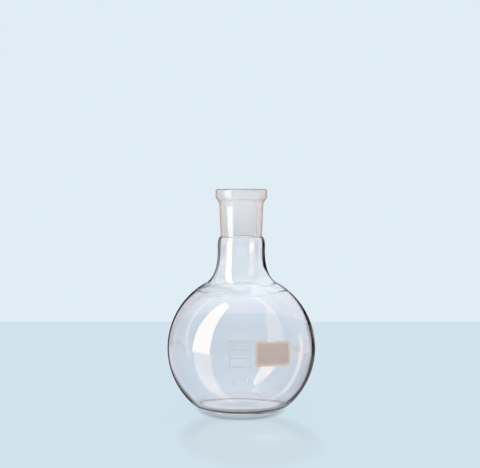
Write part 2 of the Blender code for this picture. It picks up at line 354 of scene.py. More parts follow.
def lathe(name, stretches, materials):
    """A closed turned solid. Each stretch is (line, material number), and the next starts where it ends."""
    shape = bmesh.new()
    rings = []
    numbers = []
    for line, number in stretches:
        for point in line:
            if not rings or math.dist(rings[-1], point) > MERGE_DISTANCE:
                rings.append(point)
                numbers.append(number)
    closed = rings[0][0] > MERGE_DISTANCE
    if closed and math.dist(rings[0], rings[-1]) <= MERGE_DISTANCE:
        rings.pop()
        numbers[0] = numbers.pop()
    turns = [2 * math.pi * step / AROUND for step in range(AROUND)]
    circles = []
    for radius, height in rings:
        if radius <= MERGE_DISTANCE:
            circles.append([shape.verts.new((0, 0, height))])
            continue
        circles.append([shape.verts.new((radius * math.cos(t), radius * math.sin(t), height)) for t in turns])
    pairs = list(zip(circles, circles[1:], numbers[1:]))
    if closed:
        pairs.append((circles[-1], circles[0], numbers[0]))
    for upper, lower, number in pairs:
        for step in range(AROUND):
            after = (step + 1) % AROUND
            corners = [upper[step % len(upper)], lower[step % len(lower)]]
            if len(lower) > 1:
                corners.append(lower[after])
            if len(upper) > 1:
                corners.append(upper[after])
            face = shape.faces.new(corners)
            face.material_index = number
            face.smooth = True
    bmesh.ops.recalc_face_normals(shape, faces=shape.faces)
    return object_from(name, shape, materials)


def object_from(name, shape, materials):
    """A new object with the mesh that is drawn in shape."""
    mesh = bpy.data.meshes.new(name)
    shape.to_mesh(mesh)
    shape.free()
    for material in materials:
        mesh.materials.append(material)
    return add_object(name, mesh)


def add_object(name, data):
    obj = bpy.data.objects.new(name, data)
    bpy.context.scene.collection.objects.link(obj)
    return obj


# ---- material helpers
class Nodes:
    """Shorthand for building the node tree of a material or of the world."""

    def __init__(self, owner):
        self.owner = owner
        owner.use_nodes = True
        self.tree = owner.node_tree
        self.tree.nodes.clear()

    def add(self, kind, **settings):
        node = self.tree.nodes.new("ShaderNode" + kind)
        for key, value in settings.items():
            setattr(node, key, value)
        return node

    def link(self, source, target):
        self.tree.links.new(source, target)

    def value(self, node, name, value):
        """Sets an input, or links it when value is another node's output."""
        if isinstance(value, bpy.types.NodeSocket):
            self.link(value, node.inputs[name])
        else:
            node.inputs[name].default_value = value

    def filled(self, kind, inputs, **settings):
        """A new node with its inputs set or linked, by name or number."""
        node = self.add(kind, **settings)
        for name, value in inputs.items():
            self.value(node, name, value)
        return node

    def mix(self, factor, first, second):
        return self.filled("MixShader", {0: factor, 1: first, 2: second}).outputs[0]

    def blend(self, factor, first, second, kind="MIX"):
        """A colour between two."""
        inputs = {0: factor, 6: first, 7: second}
        return self.filled("Mix", inputs, data_type="RGBA", blend_type=kind).outputs[2]

    def tinted(self, colour, tint, share=1.0):
        return self.blend(share, colour, tint, "MULTIPLY")

    def math(self, operation, first, second=0.0):
        return self.filled("Math", {0: first, 1: second}, operation=operation).outputs[0]

    def times(self, first, second):
        return self.math("MULTIPLY", first, second)

    def over(self, first, second):
        """1 where first is greater than second, and 0 elsewhere."""
        return self.math("GREATER_THAN", first, second)

    def under(self, first, second):
        """1 where first is less than second, and 0 elsewhere."""
        return self.math("LESS_THAN", first, second)

    def apart(self, first, second):
        """How far two values lie apart."""
        return self.math("ABSOLUTE", self.math("SUBTRACT", first, second))

    def vector(self, operation, first, second):
        return self.filled("VectorMath", {0: first, 1: second}, operation=operation).outputs["Vector"]

    def scaled(self, vector, factor):
        return self.filled("VectorMath", {0: vector, "Scale": factor}, operation="SCALE").outputs["Vector"]

    def length(self, vector):
        return self.filled("VectorMath", {0: vector}, operation="LENGTH").outputs["Value"]

    def parts(self, vector):
        """The outputs X, Y and Z of a vector."""
        return self.filled("SeparateXYZ", {0: vector}).outputs

    def place(self, about=None):
        """The place that is lit, in the object's own coordinates or in those of another object."""
        return self.add("TexCoord", object=about).outputs["Object"]

    def path(self, name):
        """What the ray has been through: one of the Light Path node's outputs."""
        return self.add("LightPath").outputs[name]

    def met(self, name):
        """1 when the ray has met something that this depth counts, and 0 otherwise."""
        return self.over(self.path(name), 0.5)

    def not_met(self, name):
        return self.under(self.path(name), 0.5)

    def noise(self, scale, detail=2.0, roughness=0.5):
        inputs = {"Vector": self.place(), "Scale": scale, "Detail": detail, "Roughness": roughness}
        return self.filled("TexNoise", inputs).outputs["Fac"]

    def ramp(self, source, low, high, at_low, at_high, ends="LINEAR"):
        """source from low..high moved to at_low..at_high."""
        inputs = {"Value": source, "From Min": low, "From Max": high, "To Min": at_low, "To Max": at_high}
        return self.filled("MapRange", inputs, interpolation_type=ends).outputs["Result"]

    def smooth(self, source, low, high, at_low, at_high):
        """As ramp, with eased ends."""
        return self.ramp(source, low, high, at_low, at_high, "SMOOTHSTEP")

    def rising(self, source, low, high):
        return self.smooth(source, low, high, 0.0, 1.0)

    def falling(self, source, low, high):
        return self.smooth(source, low, high, 1.0, 0.0)

    def bump(self, height, distance):
        inputs = {"Height": height, "Distance": distance, "Strength": 1.0}
        return self.filled("Bump", inputs).outputs["Normal"]

    def glass(self, colour, roughness, others):
        inputs = {"Base Color": colour, "Roughness": roughness, "IOR": GLASS_IOR, "Transmission Weight": 1.0}
        return self.filled("BsdfPrincipled", {**inputs, **others}).outputs[0]

    def surface(self, kind, colour):
        """A plain surface of one kind: diffuse, translucent or transparent."""
        return self.filled("Bsdf" + kind, {"Color": colour}).outputs[0]

    def light(self, colour, strength=1.0):
        return self.filled("Emission", {"Color": colour, "Strength": strength}).outputs[0]

    def facing(self, blend):
        """0 where the surface faces the eye, and 1 where it is edge on."""
        return self.filled("LayerWeight", {"Blend": blend}).outputs["Facing"]

    def finish(self, surface, output="OutputMaterial"):
        self.link(surface, self.add(output).inputs["Surface"])
        return self.owner

    def finish_glass(self, lit, shadow_tint):
        """Lamps shine through with shadow_tint, and all other light meets lit."""
        clear = self.surface("Transparent", shadow_tint)
        return self.finish(self.mix(self.path("Is Shadow Ray"), lit, clear))


def new_material(name):
    """A material's empty node tree. What glows in it only shows by way of the glass, so it is no lamp."""
    material = bpy.data.materials.new(name)
    material.cycles.emission_sampling = "NONE"
    return Nodes(material)


def glass_material():
    """Clear borosilicate glass with the faint waviness of blown glass, and painted shade lines near the base
    for the camera. Lamps shine through it.
    """
    nodes = new_material("borosilicate_glass")
    waves = nodes.noise(scale=55.0, detail=1.5)
    height = nodes.parts(nodes.place())["Z"]
    drawn = nodes.falling(nodes.apart(height, DRAWN_MIDDLE), *DRAWN_REACH)
    tint = nodes.blend(waves, (0.966, 0.943, 0.957, 1), (0.977, 0.955, 0.967, 1))
    tint = nodes.tinted(tint, (0.985, 0.984, 0.983, 1), nodes.falling(height, *DARKER_BELOW))
    tint = nodes.blend(drawn, tint, (0.995, 0.988, 0.99, 1))
    # painted shade: dark lines near the base, for camera rays only
    share = nodes.math("DIVIDE", height, CREASE_SHADE_RANGE)
    crease_shade = coloured_by(nodes, share, CREASE_SHADE, 0, CREASE_SHADE_RANGE)["Color"]
    colour = nodes.tinted(tint, crease_shade, nodes.path("Is Camera Ray"))
    glass = nodes.glass(colour, 0.0, {"Normal": nodes.bump(waves, WAVE_DEPTH)})
    shadow_tint = nodes.blend(nodes.facing(0.35), (0.97, 0.97, 0.98, 1), (0.72, 0.74, 0.76, 1))
    return nodes.finish_glass(glass, shadow_tint)


def ground_material():
    """The ground taper: rough cut glass that scatters what shines through it."""
    nodes = new_material("ground_taper")
    grain = nodes.noise(scale=2600.0, detail=3.0, roughness=0.6)
    scratches = nodes.noise(scale=900.0)
    roughness = nodes.ramp(scratches, *NOISE_SPAN, 0.42, 0.55)
    rough = nodes.glass((0.97, 0.965, 0.98, 1), roughness, {"Normal": nodes.bump(grain, GRAIN_DEPTH)})
    milky = nodes.surface("Translucent", WHITE)
    white = nodes.surface("Diffuse", (1.0, 0.995, 1.0, 1))
    lit = nodes.mix(GROUND_SCATTER, rough, nodes.mix(0.5, milky, white))
    return nodes.finish_glass(lit, SOCKET_SHADOW)


def socket_material():
    """The socket's outside: clear glass with a painted warm edge colour where it curves away from the eye,
    and painted shade lines under the collar and on the rim.
    """
    nodes = new_material("socket_glass")
    waves = nodes.noise(scale=70.0, detail=1.5)
    height = nodes.parts(nodes.place())["Z"]
    # painted shade: a dark line in the hollow under the collar and along the rim's top edge
    from_fillet = nodes.apart(height, COLLAR_SHADE_HEIGHT)
    shade_under_collar = nodes.smooth(from_fillet, 0.0, COLLAR_SHADE_WIDTH, COLLAR_SHADE_STRENGTH, 0.0)
    on_rim = nodes.rising(height, TOTAL_HEIGHT - RIM_SHADE_DEPTH, TOTAL_HEIGHT)
    line = nodes.math("MAXIMUM", shade_under_collar, on_rim)
    clean = nodes.blend(waves, (0.975, 0.97, 0.98, 1), (0.985, 0.98, 0.99, 1))
    sheen = {"Specular IOR Level": 0.8, "Specular Tint": (0.82, 0.93, 1.0, 1)}
    sheen["Normal"] = nodes.bump(waves, WAVE_DEPTH)
    glass = nodes.glass(nodes.blend(line, clean, SOCKET_SHADE_LINE), 0.03, sheen)
    # painted edge colour: a diffuse layer that grows towards the silhouette, standing in for what the curved
    # glass reflects and refracts
    facing = nodes.facing(0.5)
    edge_tint_colour = coloured_by(nodes, facing, SOCKET_EDGE_TINT, 0, 1)["Color"]
    edge_tint_colour = nodes.blend(nodes.path("Is Camera Ray"), SOCKET_EDGE_TINT_WITHIN, edge_tint_colour)
    edge_tint_layer = nodes.surface("Diffuse", nodes.blend(on_rim, edge_tint_colour, SOCKET_RIM_EDGE_SHADE))
    share = nodes.smooth(facing, *SOCKET_EDGE_TINT_FACING, *SOCKET_EDGE_TINT_SHARE)
    return nodes.finish_glass(nodes.mix(share, glass, edge_tint_layer), SOCKET_SHADOW)


def underside_material():
    """The base's scuffed underside, with the pale bench painted on as glow, as if gathered and stretched by
    the thick glass.
    """
    nodes = new_material("scuffed_underside_painted_glow")
    scuffs_and_glow_mottle = nodes.noise(scale=700.0, detail=3.0, roughness=0.6)
    glass = nodes.glass((0.97, 0.95, 0.96, 1), nodes.ramp(scuffs_and_glow_mottle, *NOISE_SPAN, 0.0, 0.08), {})
    place = nodes.place(bpy.data.objects["studio"])
    distance = distance_in_ellipse(nodes, place, UNDERSIDE_IMAGE_CENTRE, UNDERSIDE_IMAGE_RADII)
    share = nodes.math("DIVIDE", distance, UNDERSIDE_IMAGE_RANGE)
    image = coloured_by(nodes, share, UNDERSIDE_IMAGE, 0, UNDERSIDE_IMAGE_RANGE)["Color"]
    rise = nodes.parts(nodes.add("NewGeometry").outputs["Incoming"])["Z"]
    # painted glow: the bench's pale colour, mottled by the scuffs, with painted shade through the heel and on
    # the foot's rim
    colour = nodes.blend(scuffs_and_glow_mottle, (0.69, 0.78, 0.85, 1), (0.75, 0.84, 0.91, 1))
    colour = nodes.tinted(colour, image, nodes.falling(rise, *UNDERSIDE_FROM_ABOVE))
    colour = nodes.tinted(colour, UNDERSIDE_SIDE_SHADE, nodes.met("Glossy Depth"))
    colour = nodes.tinted(colour, UNDERSIDE_OUTLINE_SHADE, nodes.path("Is Camera Ray"))
    lit = nodes.mix(UNDERSIDE_PAINTED_GLOW_SHARE, glass, nodes.light(colour))
    return nodes.finish_glass(lit, (0.95, 0.95, 0.95, 1))


def weld_material():
    """Where the socket and the neck are one piece of glass, nothing is seen."""
    nodes = new_material("weld_inside_the_glass")
    return nodes.finish(nodes.surface("Transparent", WHITE))


def ink_material(name, colour, other_colour, cover):
    """Fired ceramic ink: matt, a little uneven, and not quite opaque."""
    nodes = new_material(name)
    speckle = nodes.noise(scale=1800.0, detail=3.0, roughness=0.65)
    cloud = nodes.noise(scale=160.0)
    inputs = {
        "Base Color": nodes.blend(nodes.ramp(cloud, *NOISE_SPAN, 0.0, 1.0), colour, other_colour),
        "Roughness": nodes.ramp(speckle, *NOISE_SPAN, 0.5, 0.75),
        "Normal": nodes.bump(speckle, SPECKLE_DEPTH),
        "Alpha": nodes.ramp(speckle, *NOISE_SPAN, cover - INK_UNEVENNESS, cover + INK_UNEVENNESS),
    }
    return nodes.finish(nodes.filled("BsdfPrincipled", inputs).outputs[0])


# ---- prints
def stand_in(piece, node):
    """Makes the piece ride the root in place of one CAD node."""
    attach(piece, "root")
    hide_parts(node)


def rounded_rectangle(width, height, corner, centre=(0, 0)):
    """The outline of a rectangle with rounded corners, anticlockwise."""
    points = []
    for quarter, (side_x, side_y) in enumerate(((1, 1), (-1, 1), (-1, -1), (1, -1))):
        middle_x = centre[0] + side_x * (width / 2 - corner)
        middle_y = centre[1] + side_y * (height / 2 - corner)
        for step in range(CORNER_STEPS + 1):
            angle = math.radians(90 * quarter + 90 * step / CORNER_STEPS)
            points.append((middle_x + corner * math.cos(angle), middle_y + corner * math.sin(angle)))
    return points


def flat_outline(name, outlines):
    """A filled 2D curve. An outline inside another is a hole."""
    curve = bpy.data.curves.new(name, "CURVE")
    curve.dimensions = "2D"
    curve.fill_mode = "BOTH"
    for outline in outlines:
        spline = curve.splines.new("POLY")
        spline.points.add(len(outline) - 1)
        for point, (x, y) in zip(spline.points, outline):
            point.co = (x, y, 0, 1)
        spline.use_cyclic_u = True
    return curve


def flat_digit(name, digit):
    """One figure in Blender's own plain typeface, centred on the origin."""
    curve = bpy.data.curves.new(name, "FONT")
    curve.body = digit
    curve.size = DIGIT_HEIGHT / DIGIT_SHARE
    curve.align_x = "CENTER"
    curve.align_y = "CENTER"
    curve.resolution_u = 8
    return curve


def mesh_of_curve(curve):
    drawn = add_object(curve.name + "_outline", curve)
    bpy.context.view_layer.update()
    graph = bpy.context.evaluated_depsgraph_get()
    filled = bpy.data.meshes.new_from_object(drawn.evaluated_get(graph))
    bpy.data.objects.remove(drawn)
    sheet = bmesh.new()
    sheet.from_mesh(filled)
    bpy.data.meshes.remove(filled)
    bmesh.ops.remove_doubles(sheet, verts=sheet.verts, dist=MERGE_DISTANCE)
    return sheet


def slice_into_cells(sheet):
    """Adds the cross lines along which the flat print can bend both ways."""
    for axis, normal in enumerate((Vector((1, 0, 0)), Vector((0, 1, 0)))):
        reach = max(abs(vertex.co[axis]) for vertex in sheet.verts)
        count = math.ceil(reach / PRINT_CELL)
        for line in range(-count, count + 1):
            geometry = sheet.verts[:] + sheet.edges[:] + sheet.faces[:]
            place = normal * (line * PRINT_CELL)
            bmesh.ops.bisect_plane(sheet, geom=geometry, dist=MERGE_DISTANCE, plane_co=place, plane_no=normal)


def wrap_on_sphere(sheet, radius):
    """Bends the flat print round a sphere about the origin, so that its middle lies at -Y."""
    for vertex in sheet.verts:
        turn = vertex.co.x / radius
        rise = vertex.co.y / radius
        outwards = Vector((math.sin(turn) * math.cos(rise), -math.cos(turn) * math.cos(rise), math.sin(rise)))
        vertex.co = radius * outwards


def fired_print(name, node, curve, azimuth, elevation, turn, thickness, material):
    """A thin skin of ink on the bulb in place of a CAD node, put there by a turn about the bulb's centre."""
    sheet = mesh_of_curve(curve)
    bmesh.ops.rotate(sheet, verts=sheet.verts, matrix=Matrix.Rotation(math.radians(turn), 3, "Z"))
    slice_into_cells(sheet)
    wrap_on_sphere(sheet, BULB_RADIUS + INK_LIFT)
    bmesh.ops.triangulate(sheet, faces=sheet.faces)
    obj = object_from(name, sheet, [material])
    obj.data.shade_smooth()
    obj.location = (0, 0, BULB_CENTRE_HEIGHT)
    obj.rotation_euler = (-math.radians(elevation), 0, math.radians(azimuth))
    solid = obj.modifiers.new("Ink thickness", "SOLIDIFY")
    solid.thickness = thickness
    solid.offset = 1
    stand_in(obj, node)


def panel_outlines():
    """A blank form: a frame with cross rules, whose rows are holes in the ink."""
    width, height = PANEL_SIZE
    row_height = (height - (PANEL_ROWS + 1) * PANEL_LINE) / PANEL_ROWS
    outlines = [rounded_rectangle(width, height, PANEL_LINE)]
    for row in range(PANEL_ROWS):
        centre_y = -height / 2 + PANEL_LINE + row_height / 2 + row * (row_height + PANEL_LINE)
        outlines.append(rounded_rectangle(width - 2 * PANEL_LINE, row_height, PANEL_LINE / 2, (0, centre_y)))
    return outlines


# ---- the flask
def ripple_shoulder(body):
    """Presses shallow uneven tooling ripples round the bulb's shoulder, on its outer surface."""
    centre = Vector((0, 0, BULB_CENTRE_HEIGHT))
    for vertex in body.data.vertices:
        outwards = vertex.co - centre
        if outwards.length < BULB_RADIUS - WALL / 2:
            continue
        polar = math.degrees(outwards.angle(Vector((0, 0, 1))))
        if not RIPPLE_ZONE[0] < polar < RIPPLE_ZONE[1]:
            continue
        azimuth = math.atan2(outwards.y, outwards.x)
        rise = 0
        for index, (middle, depth, half_width) in enumerate(RIPPLES):
            for size, waves, phase in RIPPLE_WANDER:
                middle += size * math.sin(waves * azimuth + phase * index)
            size, waves, phase = RIPPLE_UNEVENNESS
            depth *= 1 - size + size * math.sin(waves * azimuth + phase * index)
            rise += depth * math.exp(-(((polar - middle) / half_width) ** 2))
        vertex.co += outwards.normalized() * rise


def thicken_right_wall(body):
    """Moves the hollow of the bulb and neck a little to the left: a blown wall is not the same all round."""
    normals = [vertex.normal.copy() for vertex in body.data.vertices]
    for vertex, normal in zip(body.data.vertices, normals):
        if normal.x * vertex.co.x + normal.y * vertex.co.y > 0:
            continue  # on the outer surface
        vertex.co.x -= UNEVEN_WALL * eased(vertex.co.z, *UNEVEN_LOW) * (1 - eased(vertex.co.z, *UNEVEN_HIGH))


def eased(value, low, high):
    """0 below low and 1 above high, with eased ends."""
    share = min(1.0, max(0.0, (value - low) / (high - low)))
    return share * share * (3 - 2 * share)


def build_flask():
    clear = glass_material()
    ground = ground_material()
    weld = weld_material()
    outside = body_outside()
    inside = body_inside()
    foot = [point for point in outside if point[1] < UNDERSIDE_TOP]
    side = outside[: len(outside) - len(foot)]
    stretches = [(inside[::-1], 0), (outside[:1], 1), (side, 0), (foot, 2)]
    body = lathe("flask_body_glass", stretches, [clear, weld, underside_material()])
    ripple_shoulder(body)
    thicken_right_wall(body)
    stand_in(body, "flask_body")

    bore = socket_bore()
    foot = socket_foot()
    socket = lathe(
        "ground_joint_socket_glass",
        [(foot[::-1], 0), (bore[::-1], 1), (socket_rim(), 2), (socket_outside(), 2), (foot[-1:], 3)],
        [clear, ground, socket_material(), weld],
    )
    stand_in(socket, "ground_joint_socket")


def build_prints():
    border_ink = ink_material("patch_border_ink", linear((238, 214, 193)), linear((232, 209, 191)), 0.8)
    patch_ink = ink_material("patch_ink", linear((215, 191, 180)), linear((208, 188, 182)), 0.85)
    line_ink = ink_material("line_ink", linear((228, 216, 200)), linear((221, 211, 197)), 0.3)
    figure_ink = ink_material("figure_ink", linear((246, 232, 214)), linear((240, 228, 212)), 0.5)

    width, height = PATCH_SIZE
    field = rounded_rectangle(width - 2 * PATCH_BORDER, height - 2 * PATCH_BORDER, FIELD_CORNER)
    border_curve = flat_outline("border", [rounded_rectangle(width, height, PATCH_CORNER), field])
    field_curve = flat_outline("field", [field])
    where = (PATCH_AZIMUTH, PATCH_ELEVATION, PATCH_TURN)
    fired_print("writing_patch_border", "writing_patch", border_curve, *where, BORDER_THICKNESS, border_ink)
    fired_print("writing_patch_field", "writing_patch", field_curve, *where, INK_THICKNESS, patch_ink)

    panel_curve = flat_outline("panel", panel_outlines())
    where = (PANEL_AZIMUTH, PANEL_ELEVATION, 0)
    fired_print("print_panel_ink", "print_panel", panel_curve, *where, INK_THICKNESS, line_ink)
    for order, (place_name, digit) in enumerate((("hundreds", "5"), ("tens", "0"), ("units", "0"))):
        node = "capacity_digit_" + place_name
        azimuth = DIGITS_AZIMUTH + math.degrees((order - 1) * DIGIT_PITCH / BULB_RADIUS)
        where = (azimuth, DIGITS_ELEVATION, 0)
        fired_print(node + "_ink", node, flat_digit(node, digit), *where, INK_THICKNESS, figure_ink)
    tick_curve = flat_outline("tick", [rounded_rectangle(*TICK_SIZE, TICK_SIZE[1] / 3)])
    where = (TICK_AZIMUTH, TICK_ELEVATION, 0)
    fired_print("capacity_tick_ink", "capacity_tick", tick_curve, *where, INK_THICKNESS, line_ink)


# ---- the studio
STUDIO_RADIUS = 0.75  # metres, from the flask to the cards around it
STUDIO_EYE = 0.06  # the height that the cards' elevations are measured from
FLOOR_FAR_EDGE = 0.364
FLOOR_EDGE_THROUGH_GLASS = 0.431
FLOOR_SIZE = 2.0
FLOOR_DROP = 0.00005  # so that the floor and the base do not coincide
EYE = Vector((-0.00095, -0.600, 0.1656))
EYE_PITCH = 3.84
LENS = 63.75
AMBIENT = 1.0  # white light from all round
AMBIENT_THROUGH_GLASS = 1.48
LAMP_LIGHT = 0.15  # the lamp's light on the floor
FLOOR_SHADED = 0.06  # how much of the floor's look answers to light and shadow
LAMP_ELEVATION = 50.0
LAMP_AZIMUTH = 4.0
LAMP_WIDTH = 14.0  # degrees, which softens its shadows

FRONT_HALF = (75 / 360, 115 / 360)  # from behind to before, as parts of a turn off straight behind
SIDES = 80 / 360  # a dark stretch on both sides, just below eye level, which only the neck mirrors
SIDES_REACH = (14 / 360, 26 / 360)
SIDES_COLOUR = (0.05, 0.04, 0.05, 1)
BELOW_EYE_LEVEL = (-0.03, 0.03)  # as sines of elevations
LOWEST_DARK = (-0.132, -0.114)  # the right edges that look above this are dark, as on the neck
SHOULDER_OUTLOOK = (0.05, 0.13)  # the right edges that look up more than this, on the shoulder, are thin
BASE_OUTLOOK = (9 / 360, 14 / 360)  # what the base's underside mirrors is straight behind and rising
BASE_OUTLOOK_RISE = (0.09, 0.14)
# Azimuth 0 is straight behind the flask and 90 to its right, as the camera sees it.
# Cards: azimuths, elevations, colour, strength, and colour on the socket's outside
SOFTBOX_LEFT = ((-102.5, -133.5), (-4, 70), (1.0, 0.79, 0.58), 5.7, (1.75, 1.60, 1.33))
STRIP_RIGHT = ((71, 80), (-4, 7), (1.0, 0.72, 0.50), 1.85, (1.0, 0.72, 0.50))
CARD_STEPS = 12
CARD_ON_BEAD = 0.5  # the socket's bead takes only this much of a card's colour on the socket
# What mirrored light sees, by elevation, behind the flask and before it
BEHIND_BY_ELEVATION = (
    (-90, (0.45, 0.47, 0.50)),
    (0, (0.74, 0.78, 0.86)),
    (12, (0.74, 0.78, 0.86)),
    (40, (1.20, 1.25, 1.30)),
    (65, (2.00, 2.10, 2.15)),
    (90, (2.00, 2.10, 2.20)),
)
BEFORE_BY_ELEVATION = (
    (-90, (0.30, 0.30, 0.32)),
    (0, (0.35, 0.35, 0.37)),
    (14, (0.25, 0.25, 0.28)),
    (35, (0.35, 0.36, 0.40)),
    (50, (0.60, 0.62, 0.68)),
    (70, (1.30, 1.33, 1.40)),
    (90, (2.00, 2.10, 2.20)),
)
# The same for the floor, by azimuth: close to the flask and farther out
NEAR_TABLE = (
    (-180, (0.32, 0.42, 0.56)),
    (-145, (0.40, 0.45, 0.52)),
    (-134.5, (0.50, 0.48, 0.50)),
    (-133, (2.45, 1.92, 1.50)),
    (-104, (2.35, 1.82, 1.42)),
    (-102, (0.25, 0.34, 0.42)),
    (-60, (0.28, 0.38, 0.50)),
    (-25, (0.78, 0.86, 0.92)),
    (25, (0.78, 0.86, 0.92)),
    (45, (0.08, 0.06, 0.06)),
    (71, (0.05, 0.04, 0.04)),
    (72, (1.35, 1.15, 1.00)),
    (79, (1.35, 1.15, 1.00)),
    (81, (0.04, 0.03, 0.03)),
    (140, (0.20, 0.22, 0.26)),
    (180, (0.32, 0.42, 0.56)),
)
FAR_TABLE = (
    (-180, (0.90, 0.95, 1.00)),
    (-145, (0.60, 0.65, 0.70)),
    (-134.5, (0.50, 0.48, 0.50)),
    (-133, (2.70, 2.10, 1.65)),
    (-104, (2.55, 1.95, 1.50)),
    (-102, (0.30, 0.34, 0.42)),
    (-60, (0.45, 0.48, 0.56)),
    (-25, (0.78, 0.86, 0.92)),
    (25, (0.78, 0.80, 0.82)),
    (45, (0.90, 0.64, 0.60)),
    (71, (0.70, 0.40, 0.35)),
    (72, (1.85, 1.15, 0.60)),
    (79, (1.85, 1.15, 0.60)),
    (81, (0.60, 0.26, 0.16)),
    (115, (0.50, 0.26, 0.20)),
    (145, (0.60, 0.60, 0.62)),
    (180, (0.90, 0.95, 1.00)),
)
FAR_TABLE_RADII = (0.12, 0.32)
PLAIN_TABLE = (0.45, 0.50, 0.56, 1)  # the table close by has no lamp's light on it
PLAIN_TABLE_RADII = (0.052, 0.066)
PAPER_UNDER_FLASK = (0.029, 0.034)  # up to here mirrored light sees the paper itself
ONE_WALL = 2.5  # light that has crossed fewer glass surfaces than this has stayed in one wall or outside
LAST_LEFT_REFLECTION = -31  # what the outer surface mirrors beyond this azimuth is not an edge
# What the glass's edges show by azimuth: red, green, blue, and how much it hides what lies behind
NO_EDGE = (0.0, 0.0, 0.0, 0.0)
DARK_EDGE = (0.01, 0.01, 0.01, 1.0)
EDGE_ABOVE = (
    (-180, NO_EDGE),
    (-50, (0.02, 0.01, 0.01, 0.0)),
    (-46, (0.02, 0.01, 0.01, 1.0)),
    (-31.5, (0.02, 0.01, 0.01, 1.0)),
    (-30, (0.60, 0.55, 0.55, 1.0)),
    (-25, (0.52, 0.47, 0.47, 1.0)),
    (-22.5, (0.03, 0.03, 0.03, 1.0)),
    (-15, DARK_EDGE),
    (0.6, (0.012, 0.01, 0.01, 1.0)),
    (1.2, (0.45, 0.37, 0.26, 1.0)),
    (16, (0.45, 0.37, 0.25, 1.0)),
    (21, (0.32, 0.26, 0.17, 1.0)),
    (24, (0.02, 0.015, 0.015, 1.0)),
    (44, DARK_EDGE),
    (52, (0.05, 0.05, 0.06, 0.0)),
    (180, NO_EDGE),
)
EDGE_BELOW = (
    (-180, NO_EDGE),
    (-42, (0.30, 0.28, 0.32, 0.0)),
    (-30, (0.62, 0.60, 0.64, 1.0)),
    (-25, (0.50, 0.47, 0.49, 1.0)),
    (-22, DARK_EDGE),
    (0, DARK_EDGE),
    (1, (0.30, 0.30, 0.32, 1.0)),
    (12, (0.26, 0.26, 0.28, 1.0)),
    (17, (0.01, 0.01, 0.015, 1.0)),
    (36, (0.01, 0.01, 0.015, 1.0)),
    (46, (0.10, 0.10, 0.12, 0.0)),
    (180, NO_EDGE),
)
NEAR_EDGE_MIST = (0.06, 0.06, 0.07, 1)  # added to the edges that mirror the floor close by
NEAR_EDGE_RADII = (0.15, 0.23)
FAR_EDGE_RADII = (0.25, 0.33)  # from here out the floor's edges turn into those of the backdrop
BARE_ROUND_BASE = (0.031, 0.040)  # up to here the floor shows no edges

# The bulb's shadow, painted into the floor's colour: the lamp's light that has come through the bulb, in
# metres
BULB_SHADOW_CENTRE = (-0.0015, -0.078)
BULB_SHADOW_LEAN = 0.092
BULB_SHADOW_HALF_WIDTH = 0.044
BULB_SHADOW_REACH_BACK = 0.066
BULB_SHADOW_REACH_FORWARD = 0.046
BULB_SHADOW_TINT = (0.985, 0.952, 0.945, 1)
BULB_SHADOW_FADE = (0.80, 1.12)  # as parts of the way out to the outline
SHADOW_RIM_TINT = (0.925, 0.92, 0.93, 1)
SHADOW_RIM_MIDDLE = 0.90
SHADOW_RIM_HALF_WIDTH = 0.24
SHADOW_RIM_ENDS = (-0.100, -0.035)  # the rims grow stronger between these places towards the flask
SHADOW_RIM_FAINTEST = 0.15
# a painted caustic: a brighter patch in the bulb's shadow
CAUSTIC_PATCH_CENTRE = (0.017, -0.067)
CAUSTIC_PATCH_RADII = (0.021, 0.016)
CAUSTIC_PATCH_TINT = (1.09, 1.055, 1.035, 1)
# a painted contact shadow round the base
CONTACT_SHADOW_RADII = (0.0262, 0.0335)
CONTACT_SHADOW_TINT = (0.58, 0.58, 0.58, 1)


def in_steps(start, end):
    """Angles from start to end for a card's grid, as radians."""
    return [math.radians(start + (end - start) * step / CARD_STEPS) for step in range(CARD_STEPS + 1)]


def card(name, studio, azimuths, elevations, colour, strength, socket_colour):
    """A glowing card on a sphere about the flask, seen only by way of the glass."""
    shape = bmesh.new()
    rows = []
    for rise in in_steps(*elevations):
        across = STUDIO_RADIUS * math.cos(rise)
        height = STUDIO_EYE + STUDIO_RADIUS * math.sin(rise)
        turns = in_steps(*azimuths)
        rows.append([shape.verts.new((across * math.sin(t), across * math.cos(t), height)) for t in turns])
    for lower, upper in zip(rows, rows[1:]):
        for j in range(CARD_STEPS):
            shape.faces.new((lower[j], lower[j + 1], upper[j + 1], upper[j]))
    obj = object_from(name, shape, [glow_material(name, colour, strength, socket_colour)])
    obj.parent = studio
    obj.visible_camera = obj.visible_diffuse = obj.visible_shadow = False


def mirrored(nodes):
    """1 for light that only glass has mirrored on its way to the camera, and 0 for all other light."""
    return nodes.times(nodes.not_met("Diffuse Depth"), nodes.met("Glossy Depth"))


def azimuth_of(nodes, direction):
    """The azimuth of a direction or a place, from 0 at -180 degrees to 1 at 180."""
    parts = nodes.parts(direction)
    angle = nodes.math("ARCTAN2", parts["X"], parts["Y"])
    return nodes.ramp(angle, -math.pi, math.pi, 0.0, 1.0)


def coloured_by(nodes, share, stops, lowest=-180, highest=180):
    """Outputs Color and Alpha that run through stops, which are (place, colour). share is 0 at the place
    lowest and 1 at highest."""
    node = nodes.add("ValToRGB")
    nodes.link(share, node.inputs["Fac"])
    elements = node.color_ramp.elements
    while len(elements) > 1:
        elements.remove(elements[0])
    for index, (place, colour) in enumerate(stops):
        position = (place - lowest) / (highest - lowest)
        element = elements[0] if index == 0 else elements.new(position)
        element.position = position
        element.color = (*colour, 1) if len(colour) == 3 else colour
    return node.outputs


